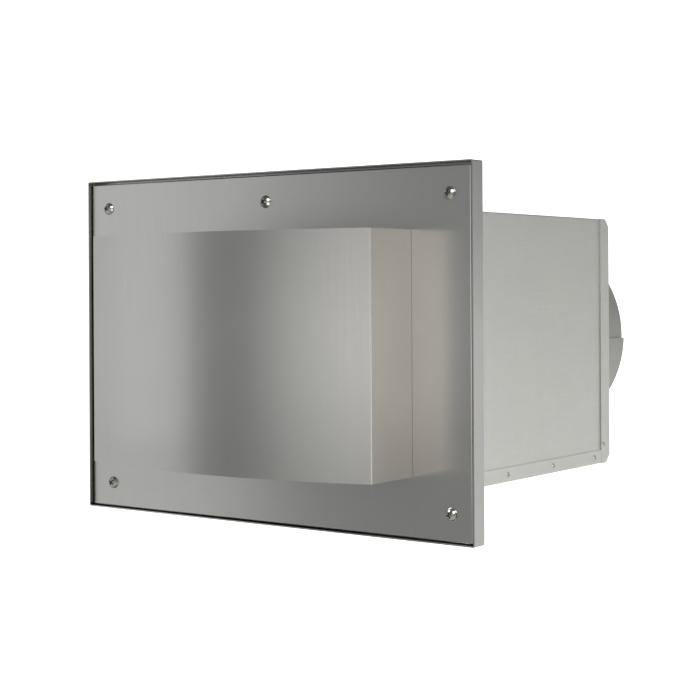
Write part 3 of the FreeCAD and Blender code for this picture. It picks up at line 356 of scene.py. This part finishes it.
finishes = {
    "brushed_stainless": brushed_steel(
        "brushed_stainless", (0.64, 0.638, 0.62), 0.215, UPRIGHT, 0.8, UPRIGHT_STREAKS
    ),
    "mill_stainless": mill_steel(
        "mill_stainless", (0.84, 0.84, 0.80), 0.40, INWARD, 0.35, INWARD_STREAKS
    ),
    "duct_steel": mill_steel(
        "duct_steel", (0.47, 0.48, 0.455), 0.60, INWARD, 0.1, INWARD_STREAKS
    ),
    "polished_stainless": turned_steel("polished_stainless", (0.42, 0.41, 0.38), 0.20, 0.30),
    "rivet_steel": turned_steel("rivet_steel", (0.60, 0.60, 0.585), 0.34, 0.35),
    "spring_steel": turned_steel("spring_steel", (0.45, 0.45, 0.46), 0.25, 0.30),
    "blade_aluminium": rolled_aluminium(),
    "foam": closed_cell_foam(),
    "silicone": silicone(),
    "nylon": nylon(),
}

for part in frame["record"]["subparts"]:
    for place in frame["nodes"][part["node"]].material_slots:
        place.material = finishes[part["material_slot"]]


# ---------------------------------------------------------------------------
# Studio: pale floor that sweeps up behind the object, soft boxes, grey surroundings
# ---------------------------------------------------------------------------

CAMERA_YAW = math.radians(36.33)
FLOOR_HEIGHT = -0.80
BEND_STEPS = 16
HALF_COLUMNS = 8

# the paper glows only behind the object: where that starts and is full, and where it is full
# and ends to each side, in metres
GLOW = 1.05
GLOW_BEHIND = (1.2, 1.9)
GLOW_BESIDE = (1.7, 2.6)

WHITE = (1.0, 1.0, 1.0)
NEAR_WHITE = (1.0, 1.0, 0.99)
SOFT_WHITE = (1.0, 0.99, 0.97)
WARM_WHITE = (1.0, 0.91, 0.81)


def stage_material():
    """Pale seamless paper, lit through from behind."""
    paper = Surface("paper", 0.0, (0.92, 0.92, 0.915), 0.9)
    fibre = paper.noise(40.0, detail=4.0)
    paper.tint(paper.ramp(fibre, 0.4, 0.7, 0.0, 0.1), (0.90, 0.90, 0.895))
    paper.bump(paper.noise(160.0), 0.0002, 0.1)
    paper.shader.inputs["Emission Color"].default_value = (1.0, 1.0, 0.995, 1.0)
    spot = paper.add("ShaderNodeSeparateXYZ")
    paper.put(spot.inputs["Vector"], paper.place)
    sideways = paper.maths("ABSOLUTE", spot.outputs["X"])
    behind = paper.ramp(spot.outputs["Y"], *GLOW_BEHIND, 0.0, GLOW)
    beside = paper.ramp(sideways, *GLOW_BESIDE, 1.0, 0.0)
    glow = paper.maths("MULTIPLY", behind, beside)
    paper.put(paper.shader.inputs["Emission Strength"], glow)
    return paper.done()


def sweep(name, near, far, half_width, radius, rise):
    """A sheet of paper that lies on the floor, bends up and stands behind the object."""
    profile = [(near, 0.0), (far, 0.0)]
    for step in range(1, BEND_STEPS + 1):
        angle = math.pi / 2 * step / BEND_STEPS
        profile.append((far + radius * math.sin(angle), radius * (1 - math.cos(angle))))
    profile.append((far + radius, rise))
    mesh = bmesh.new()
    columns = []
    for side in range(-HALF_COLUMNS, HALF_COLUMNS + 1):
        across = half_width * side / HALF_COLUMNS
        columns.append([mesh.verts.new((across, along, up)) for along, up in profile])
    for left, right in zip(columns, columns[1:]):
        for row in range(len(profile) - 1):
            mesh.faces.new((left[row], right[row], right[row + 1], left[row + 1]))
    mesh.normal_update()
    data = bpy.data.meshes.new(name)
    mesh.to_mesh(data)
    mesh.free()
    data.shade_smooth()
    data.materials.append(stage_material())
    paper = bpy.data.objects.new(name, data)
    turned = Matrix.Rotation(CAMERA_YAW, 4, "Z")
    paper.matrix_world = Matrix.Translation((0.0, 0.0, FLOOR_HEIGHT)) @ turned
    scene.collection.objects.link(paper)


def softbox(name, centre, aim, width, height, radiance, colour):
    """A rectangular light of an even radiance, facing the point it is aimed at."""
    data = bpy.data.lights.new(name, "AREA")
    data.shape = "RECTANGLE"
    data.size = width
    data.size_y = height
    data.energy = radiance * math.pi * width * height
    data.color = colour
    lamp = bpy.data.objects.new(name, data)
    lamp.location = centre
    lamp.rotation_euler = (Vector(aim) - Vector(centre)).to_track_quat("-Z", "Y").to_euler()
    lamp.visible_camera = False
    scene.collection.objects.link(lamp)


def card(name, start, end, bands, colour=WHITE):
    """An upright soft box standing on the line from start to end, facing the object.
    Each band is (low, high, radiance)."""
    near, far = Vector((*start, 0.0)), Vector((*end, 0.0))
    along = far - near
    normal = Vector((along.y, -along.x, 0.0))
    if normal.dot(near + far) > 0:
        normal = -normal
    for number, (low, high, radiance) in enumerate(bands):
        centre = (near + far) / 2 + Vector((0.0, 0.0, (low + high) / 2))
        band = "%s_%d" % (name, number)
        softbox(band, centre, centre + normal, along.length, high - low, radiance, colour)


def crowned(radiance):
    """Brightest a little below the object's middle, falling off up and down."""
    return (
        (-0.50, -0.30, 0.50 * radiance),
        (-0.30, -0.18, 0.76 * radiance),
        (-0.18, 0.06, radiance),
        (0.06, 0.18, 0.82 * radiance),
        (0.18, 0.45, 0.62 * radiance),
    )


sweep("floor", near=-4.0, far=2.4, half_width=5.0, radius=1.2, rise=5.0)

card(
    "left_edge",
    (-0.29, -0.64),
    (-0.39, -0.475),
    ((0.15, 0.70, 0.20),),
)
card(
    "left_card",
    (-0.39, -0.475),
    (-0.56, -0.23),
    ((-0.60, -0.13, 0.43), (-0.13, 0.70, 0.50)),
)
card(
    "left_card_far",
    (-0.56, -0.23),
    (-1.60, 1.30),
    ((-0.60, -0.10, 0.37), (-0.10, 0.70, 0.385)),
)
card("front_card_outer", (-0.70, -1.90), (-0.20, -1.90), crowned(0.38), NEAR_WHITE)
card("front_card", (-0.20, -1.90), (0.70, -1.90), crowned(0.58), SOFT_WHITE)
card("camera_card", (0.70, -1.90), (2.60, -1.60), crowned(0.92), WARM_WHITE)
card(
    "right_card",
    (1.60, -0.40),
    (1.30, 1.60),
    (
        (-0.80, -0.42, 0.74),
        (-0.42, 0.00, 0.86),
        (0.00, 0.15, 0.64),
        (0.15, 0.30, 0.46),
        (0.30, 0.70, 0.30),
    ),
)
card(
    "right_back_card",
    (1.02, 1.84),
    (0.25, 2.40),
    (
        (-0.90, -0.40, 0.50),
        (-0.40, -0.12, 0.54),
        (-0.12, 0.02, 0.48),
        (0.02, 0.16, 0.34),
        (0.16, 0.35, 0.20),
        (0.35, 0.80, 0.10),
    ),
)
softbox(
    "key",
    centre=(1.35, -0.75, 1.15),
    aim=(0.0, 0.0, 0.0),
    width=0.95,
    height=0.95,
    radiance=10.0,
    colour=SOFT_WHITE,
)


def surroundings(colour, level, glow, dip, spread):
    """Grey studio, brighter around the horizon: glow is its strength at the dip below the horizon,
    level its strength from the spread away."""
    world = bpy.data.worlds.new("surroundings")
    world.use_nodes = True
    tree = world.node_tree
    background = tree.nodes["Background"]
    background.inputs["Color"].default_value = (*colour, 1.0)
    coords = tree.nodes.new("ShaderNodeTexCoord")
    height = tree.nodes.new("ShaderNodeSeparateXYZ")
    tree.links.new(coords.outputs["Generated"], height.inputs["Vector"])
    shifted = tree.nodes.new("ShaderNodeMath")
    shifted.inputs[1].default_value = dip
    tree.links.new(height.outputs["Z"], shifted.inputs[0])
    away = tree.nodes.new("ShaderNodeMath")
    away.operation = "ABSOLUTE"
    tree.links.new(shifted.outputs[0], away.inputs[0])
    fall = tree.nodes.new("ShaderNodeMapRange")
    fall.interpolation_type = "SMOOTHSTEP"
    tree.links.new(away.outputs[0], fall.inputs["Value"])
    set_range(fall, 0.0, spread, glow, level)
    tree.links.new(fall.outputs["Result"], background.inputs["Strength"])
    return world


scene.world = surroundings((0.985, 0.995, 0.99), level=0.165, glow=0.215, dip=0.035, spread=0.11)
scene.view_settings.view_transform = "Standard"
scene.view_settings.look = "None"

# ---------------------------------------------------------------------------
# Camera at the photograph's angle
# ---------------------------------------------------------------------------

CAMERA_PLACE = (0.9437, -1.1633, 0.0586)
CAMERA_ROLL = math.radians(-0.31)

lens = bpy.data.cameras.new("camera")
lens.sensor_width = 36.0
lens.lens = 81.416
lens.shift_y = -0.0926
lens.clip_start = 0.05
lens.clip_end = 60.0
camera = bpy.data.objects.new("camera", lens)
camera.matrix_world = (
    Matrix.Translation(CAMERA_PLACE)
    @ Matrix.Rotation(CAMERA_YAW, 4, "Z")
    @ Matrix.Rotation(math.pi / 2, 4, "X")
    @ Matrix.Rotation(CAMERA_ROLL, 4, "Z")
)
scene.collection.objects.link(camera)
scene.camera = camera
